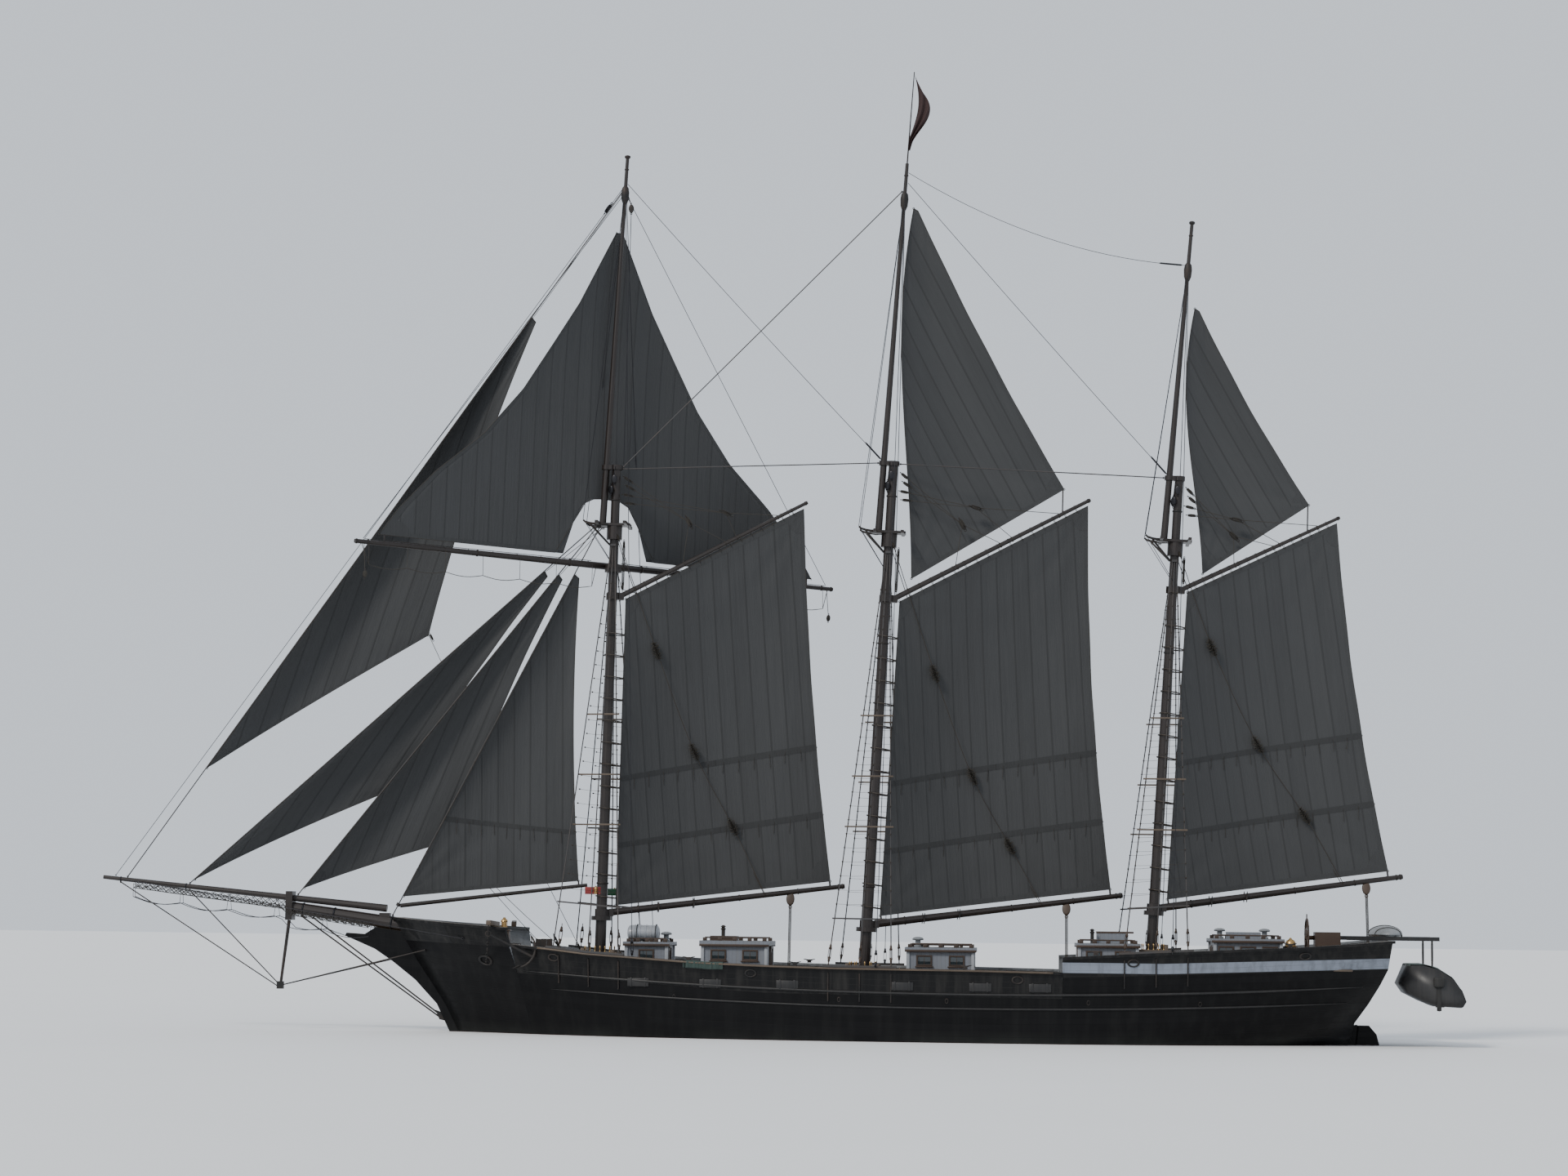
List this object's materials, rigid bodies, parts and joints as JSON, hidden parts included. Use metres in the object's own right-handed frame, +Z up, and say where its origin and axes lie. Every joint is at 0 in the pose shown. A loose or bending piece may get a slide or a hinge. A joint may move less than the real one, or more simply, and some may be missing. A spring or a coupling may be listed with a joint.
{
  "type": "three-masted topsail schooner",
  "caption": "Full-size topsail schooner under sail with its whole hull: gaff rigs and a boomed staysail that swing, a yard that braces round, a rudder geared to its wheel, and a propeller.",
  "frame": {"origin": "on the centreline amidships, at the waterline", "axes": "+X aft along the ship, +Y to starboard, +Z up; the picture sees the port side, looking along +Y"},
  "size_m": [38.2053, 10.1624, 30.2147],
  "materials": {
    "hull_paint": "satin black paint",
    "white_paint": "satin white paint",
    "house_paint": "light grey paint",
    "varnished_wood": "varnish",
    "dark_wood": "oiled",
    "wire_rope": "tarred",
    "sailcloth": "matte woven",
    "ironwork": "black paint",
    "bronze": "dull",
    "boat_cover": "matte canvas"
  },
  "bodies": {
    "ship": {"hull": "hull_paint", "stem_and_keel": "hull_paint", "bulwark_port": "hull_paint", "bulwark_starboard": "hull_paint", "forecastle_bulwark": "hull_paint", "quarterdeck_bulwark": "white_paint", "fore_deckhouse": "house_paint", "galley_deckhouse": "house_paint", "midship_deckhouse": "house_paint", "aft_deckhouse": "house_paint", "stern_cabin": "house_paint", "bowsprit": "varnished_wood", "jib_boom": "varnished_wood", "fore_mast": "varnished_wood", "main_mast": "varnished_wood", "mizzen_mast": "varnished_wood", "fore_topmast": "varnished_wood", "main_topmast": "varnished_wood", "mizzen_topmast": "varnished_wood", "fore_crosstrees": "dark_wood", "main_crosstrees": "dark_wood", "mizzen_crosstrees": "dark_wood", "steering_box": "dark_wood", "fore_shrouds_port": "wire_rope", "fore_shrouds_starboard": "wire_rope", "main_shrouds_port": "wire_rope", "main_shrouds_starboard": "wire_rope", "mizzen_shrouds_port": "wire_rope", "mizzen_shrouds_starboard": "wire_rope", "head_stays": "wire_rope", "fore_topmast_stay": "wire_rope", "fore_spring_stay": "wire_rope", "main_spring_stay": "wire_rope", "main_topmast_stay": "wire_rope", "flying_jib": "sailcloth", "outer_jib": "sailcloth", "inner_jib": "sailcloth", "dolphin_striker": "ironwork", "bobstays": "ironwork", "windlass": "ironwork", "davits": "ironwork", "dinghy": "boat_cover"},
    "rudder": {"rudder": "hull_paint"},
    "propeller": {"propeller": "bronze"},
    "helm": {"steering_wheel": "dark_wood"},
    "staysail_rig": {"staysail_boom": "varnished_wood", "fore_staysail": "sailcloth"},
    "fore_rig": {"fore_boom": "varnished_wood", "fore_gaff": "varnished_wood", "foresail": "sailcloth"},
    "main_rig": {"main_boom": "varnished_wood", "main_gaff": "varnished_wood", "mainsail": "sailcloth", "main_topsail": "sailcloth"},
    "mizzen_rig": {"mizzen_boom": "varnished_wood", "mizzen_gaff": "varnished_wood", "mizzen_sail": "sailcloth", "mizzen_topsail": "sailcloth"},
    "yard_rig": {"fore_yard": "varnished_wood", "raffee": "sailcloth"}
  },
  "joints": [
    {"name": "rudder_turn", "type": "hinge", "parent": "ship", "child": "rudder", "pos_m": [12.6603, 0, 0], "axis": [0.0995, 0, 0.995], "range_deg": [-35, 35]},
    {"name": "wheel_turn", "type": "hinge", "parent": "ship", "child": "helm", "pos_m": [11.3, 0, 2.9313], "axis": [-1, 0, 0], "range_deg": [-420, 420]},
    {"name": "propeller_spin", "type": "hinge", "parent": "ship", "child": "propeller", "pos_m": [11.82, 0, -1.5], "axis": [1, 0, 0], "continuous": true},
    {"name": "staysail_boom_swing", "type": "hinge", "parent": "ship", "child": "staysail_rig", "pos_m": [-14.33, 0, 3.2345], "axis": [0.4561, 0, 0.8899], "range_deg": [-30, 14]},
    {"name": "fore_boom_swing", "type": "hinge", "parent": "ship", "child": "fore_rig", "pos_m": [-8.44, 0, 0], "axis": [0.0155, 0, 0.9999], "range_deg": [-52, 28]},
    {"name": "main_boom_swing", "type": "hinge", "parent": "ship", "child": "main_rig", "pos_m": [-1.06, 0, 0], "axis": [0.0485, 0, 0.9988], "range_deg": [-8, 40]},
    {"name": "mizzen_boom_swing", "type": "hinge", "parent": "ship", "child": "mizzen_rig", "pos_m": [6.874, 0, 0], "axis": [0.0582, 0, 0.9983], "range_deg": [-57, 33]},
    {"name": "fore_yard_brace", "type": "hinge", "parent": "ship", "child": "yard_rig", "pos_m": [-8.44, 0, 0], "axis": [0.0155, 0, 0.9999], "range_deg": [0, 102]}
  ],
  "couplings": [
    {"joint": "wheel_turn", "follows": "rudder_turn", "ratio": 12}
  ]
}
